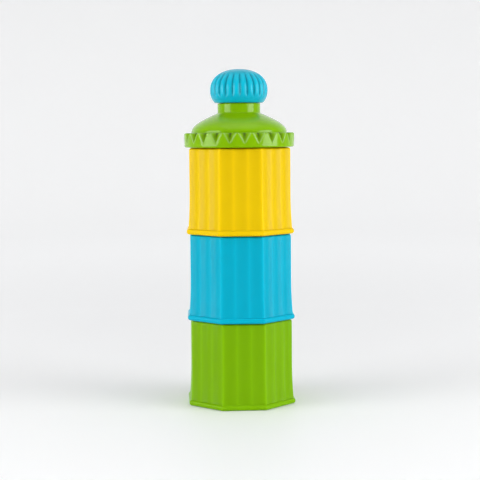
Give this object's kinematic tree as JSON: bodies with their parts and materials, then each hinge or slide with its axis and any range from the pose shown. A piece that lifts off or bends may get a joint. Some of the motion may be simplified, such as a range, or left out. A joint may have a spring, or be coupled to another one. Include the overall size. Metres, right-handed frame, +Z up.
{
  "type": "formula dispenser",
  "caption": "Stacking powder dispenser: fluted octagonal cups that screw together, a domed pouring lid with a notched grip ring, and a lobed ball cap.",
  "frame": {"origin": "middle of the foot the stack stands on", "axes": "+Z up along the stack's screw axis, -Y out of one flat of the bottom cup, the side that faces the camera"},
  "size_m": [0.069, 0.069, 0.21],
  "materials": {
    "green_plastic": "glossy on the lid, satin on the fluted cup, moulded polypropylene",
    "blue_plastic": "satin moulded polypropylene",
    "yellow_plastic": "satin moulded polypropylene, very slightly translucent",
    "silicone": "soft matt translucent white silicone"
  },
  "bodies": {
    "bottom_cup": {"bottom_cup_shell": "green_plastic", "bottom_cup_floor": "green_plastic", "bottom_cup_seal": "silicone"},
    "middle_seal_ring": {"middle_cup_seal": "silicone"},
    "middle_cup": {"middle_cup_shell": "blue_plastic", "middle_cup_floor": "blue_plastic"},
    "top_seal_ring": {"top_cup_seal": "silicone"},
    "top_cup": {"top_cup_shell": "yellow_plastic", "top_cup_floor": "yellow_plastic"},
    "lid_seal_ring": {"lid_seal": "silicone"},
    "pouring_lid": {"lid": "green_plastic"},
    "cap_seal": {"cap_seal_disc": "silicone"},
    "ball_cap": {"cap_shell": "blue_plastic", "cap_liner": "blue_plastic"}
  },
  "joints": [
    {"name": "middle_cup_lift", "type": "slide", "parent": "bottom_cup", "child": "middle_seal_ring", "axis": [0, 0, 1], "range_m": [0, 0.024]},
    {"name": "middle_cup_unscrew", "type": "hinge", "parent": "middle_seal_ring", "child": "middle_cup", "pos_m": [0, 0, 0], "axis": [0, 0, 1], "range_deg": [0, 1080]},
    {"name": "top_cup_lift", "type": "slide", "parent": "middle_cup", "child": "top_seal_ring", "axis": [0, 0, 1], "range_m": [0, 0.024]},
    {"name": "top_cup_unscrew", "type": "hinge", "parent": "top_seal_ring", "child": "top_cup", "pos_m": [0, 0, 0], "axis": [0, 0, 1], "range_deg": [0, 1080]},
    {"name": "lid_lift", "type": "slide", "parent": "top_cup", "child": "lid_seal_ring", "axis": [0, 0, 1], "range_m": [0, 0.024]},
    {"name": "lid_unscrew", "type": "hinge", "parent": "lid_seal_ring", "child": "pouring_lid", "pos_m": [0, 0, 0], "axis": [0, 0, 1], "range_deg": [0, 1080]},
    {"name": "cap_lift", "type": "slide", "parent": "pouring_lid", "child": "cap_seal", "axis": [0, 0, 1], "range_m": [0, 0.018]},
    {"name": "cap_unscrew", "type": "hinge", "parent": "cap_seal", "child": "ball_cap", "pos_m": [0, 0, 0], "axis": [0, 0, 1], "range_deg": [0, 1080]}
  ],
  "couplings": [
    {"joint": "middle_cup_lift", "follows": "middle_cup_unscrew", "m_per_rad": 0.0012732},
    {"joint": "top_cup_lift", "follows": "top_cup_unscrew", "m_per_rad": 0.0012732},
    {"joint": "lid_lift", "follows": "lid_unscrew", "m_per_rad": 0.0012732},
    {"joint": "cap_lift", "follows": "cap_unscrew", "m_per_rad": 0.00095493}
  ]
}
